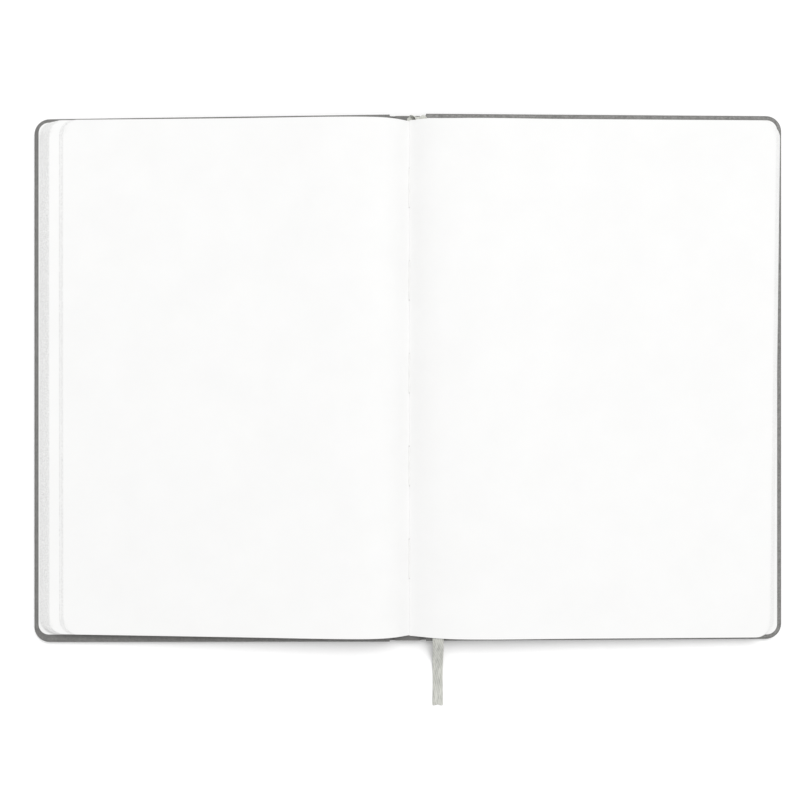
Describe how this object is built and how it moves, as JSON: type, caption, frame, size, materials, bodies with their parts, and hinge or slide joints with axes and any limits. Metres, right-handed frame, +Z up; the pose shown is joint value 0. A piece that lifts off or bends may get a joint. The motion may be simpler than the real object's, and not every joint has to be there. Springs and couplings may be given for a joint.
{
  "type": "sketchbook",
  "caption": "Hardcover sewn sketchbook lying open, with rounded leather-look covers, blank pages and a ribbon marker.",
  "frame": {"origin": "middle of the open book's footprint, on the surface it lies on", "axes": "+X from the spine to the back cover's fore-edge, +Y to the head of the pages, +Z up"},
  "size_m": [0.3076, 0.2435, 0.0157],
  "materials": {
    "cover_leather": "fine-grained matt imitation leather",
    "grey_board": "raw grey bookbinding board",
    "endpaper": "smooth white endpaper",
    "page_paper": "white drawing paper with a fine tooth",
    "thread": "waxed linen thread",
    "lining_paper": "brown lining paper",
    "gauze": "open cotton gauze",
    "ribbon": "woven satin ribbon, pale warm grey"
  },
  "bodies": {
    "spine": {"spine_strip": "grey_board", "spine_skin": "cover_leather", "spine_lining": "lining_paper", "mull": "gauze", "section_folds": "page_paper", "sewing_thread": "thread", "ribbon_anchor": "ribbon", "ribbon_head": "ribbon"},
    "front_cover": {"front_cover_skin": "cover_leather", "front_board": "grey_board", "front_mull_flap": "gauze", "front_pastedown": "endpaper"},
    "back_cover": {"back_cover_skin": "cover_leather", "back_board": "grey_board", "back_mull_flap": "gauze", "back_pastedown": "endpaper"},
    "front_flyleaf": {"front_flyleaf": "endpaper"},
    "section_01": {"section_01": "page_paper"},
    "section_02": {"section_02": "page_paper"},
    "section_03": {"section_03": "page_paper"},
    "section_04": {"section_04": "page_paper"},
    "section_05": {"section_05": "page_paper"},
    "section_06_front": {"section_06_front": "page_paper"},
    "back_flyleaf": {"back_flyleaf": "endpaper"},
    "section_12": {"section_12": "page_paper"},
    "section_11": {"section_11": "page_paper"},
    "section_10": {"section_10": "page_paper", "ribbon": "ribbon"},
    "section_09": {"section_09": "page_paper"},
    "section_08": {"section_08": "page_paper"},
    "section_07": {"section_07": "page_paper"},
    "section_06_back": {"section_06_back": "page_paper"}
  },
  "joints": [
    {"name": "front_cover_hinge", "type": "hinge", "parent": "spine", "child": "front_cover", "pos_m": [-0.00504, 0, 0.00731], "axis": [0, 1, 0], "range_deg": [0, 91.8]},
    {"name": "back_cover_hinge", "type": "hinge", "parent": "spine", "child": "back_cover", "pos_m": [0.00504, 0, 0.00731], "axis": [0, -1, 0], "range_deg": [0, 91.8]},
    {"name": "front_flyleaf_turn", "type": "hinge", "parent": "spine", "child": "front_flyleaf", "pos_m": [-0.00509, 0, 0.00726], "axis": [0, 1, 0], "range_deg": [0, 91.8]},
    {"name": "section_01_turn", "type": "hinge", "parent": "spine", "child": "section_01", "pos_m": [-0.00506, 0, 0.00754], "axis": [0, 1, 0], "range_deg": [0, 91.9]},
    {"name": "section_02_turn", "type": "hinge", "parent": "spine", "child": "section_02", "pos_m": [-0.00494, 0, 0.00847], "axis": [0, 1, 0], "range_deg": [0, 92.21]},
    {"name": "section_03_turn", "type": "hinge", "parent": "spine", "child": "section_03", "pos_m": [-0.00482, 0, 0.0094], "axis": [0, 1, 0], "range_deg": [0, 92.52]},
    {"name": "section_04_turn", "type": "hinge", "parent": "spine", "child": "section_04", "pos_m": [-0.0047, 0, 0.01034], "axis": [0, 1, 0], "range_deg": [0, 92.83]},
    {"name": "section_05_turn", "type": "hinge", "parent": "spine", "child": "section_05", "pos_m": [-0.00459, 0, 0.01128], "axis": [0, 1, 0], "range_deg": [0, 93.14]},
    {"name": "section_06_front_turn", "type": "hinge", "parent": "spine", "child": "section_06_front", "pos_m": [-0.00221, 0, 0.01462], "axis": [0, 1, 0], "range_deg": [0, 93.46]},
    {"name": "back_flyleaf_turn", "type": "hinge", "parent": "spine", "child": "back_flyleaf", "pos_m": [0.00509, 0, 0.00726], "axis": [0, -1, 0], "range_deg": [0, 91.8]},
    {"name": "section_12_turn", "type": "hinge", "parent": "spine", "child": "section_12", "pos_m": [0.00503, 0, 0.00732], "axis": [0, -1, 0], "range_deg": [0, 91.8]},
    {"name": "section_11_turn", "type": "hinge", "parent": "spine", "child": "section_11", "pos_m": [0.00483, 0, 0.00753], "axis": [0, -1, 0], "range_deg": [0, 91.8]},
    {"name": "section_10_turn", "type": "hinge", "parent": "spine", "child": "section_10", "pos_m": [0.00463, 0, 0.00773], "axis": [0, -1, 0], "range_deg": [0, 91.8]},
    {"name": "section_09_turn", "type": "hinge", "parent": "spine", "child": "section_09", "pos_m": [0.00429, 0, 0.00809], "axis": [0, -1, 0], "range_deg": [0, 91.8]},
    {"name": "section_08_turn", "type": "hinge", "parent": "spine", "child": "section_08", "pos_m": [0.00409, 0, 0.00829], "axis": [0, -1, 0], "range_deg": [0, 91.8]},
    {"name": "section_07_turn", "type": "hinge", "parent": "spine", "child": "section_07", "pos_m": [0.00388, 0, 0.0085], "axis": [0, -1, 0], "range_deg": [0, 91.8]},
    {"name": "section_06_back_turn", "type": "hinge", "parent": "spine", "child": "section_06_back", "pos_m": [0.00368, 0, 0.00871], "axis": [0, -1, 0], "range_deg": [0, 91.8]}
  ],
  "couplings": [
    {"joint": "front_flyleaf_turn", "follows": "front_cover_hinge", "ratio": 1},
    {"joint": "section_01_turn", "follows": "front_cover_hinge", "ratio": 1.001},
    {"joint": "section_02_turn", "follows": "front_cover_hinge", "ratio": 1.0044},
    {"joint": "section_03_turn", "follows": "front_cover_hinge", "ratio": 1.0078},
    {"joint": "section_04_turn", "follows": "front_cover_hinge", "ratio": 1.0112},
    {"joint": "section_05_turn", "follows": "front_cover_hinge", "ratio": 1.0146},
    {"joint": "section_06_front_turn", "follows": "front_cover_hinge", "ratio": 1.018},
    {"joint": "back_flyleaf_turn", "follows": "back_cover_hinge", "ratio": 1},
    {"joint": "section_12_turn", "follows": "back_cover_hinge", "ratio": 1},
    {"joint": "section_11_turn", "follows": "back_cover_hinge", "ratio": 1},
    {"joint": "section_10_turn", "follows": "back_cover_hinge", "ratio": 1},
    {"joint": "section_09_turn", "follows": "back_cover_hinge", "ratio": 1},
    {"joint": "section_08_turn", "follows": "back_cover_hinge", "ratio": 1},
    {"joint": "section_07_turn", "follows": "back_cover_hinge", "ratio": 1},
    {"joint": "section_06_back_turn", "follows": "back_cover_hinge", "ratio": 1}
  ]
}
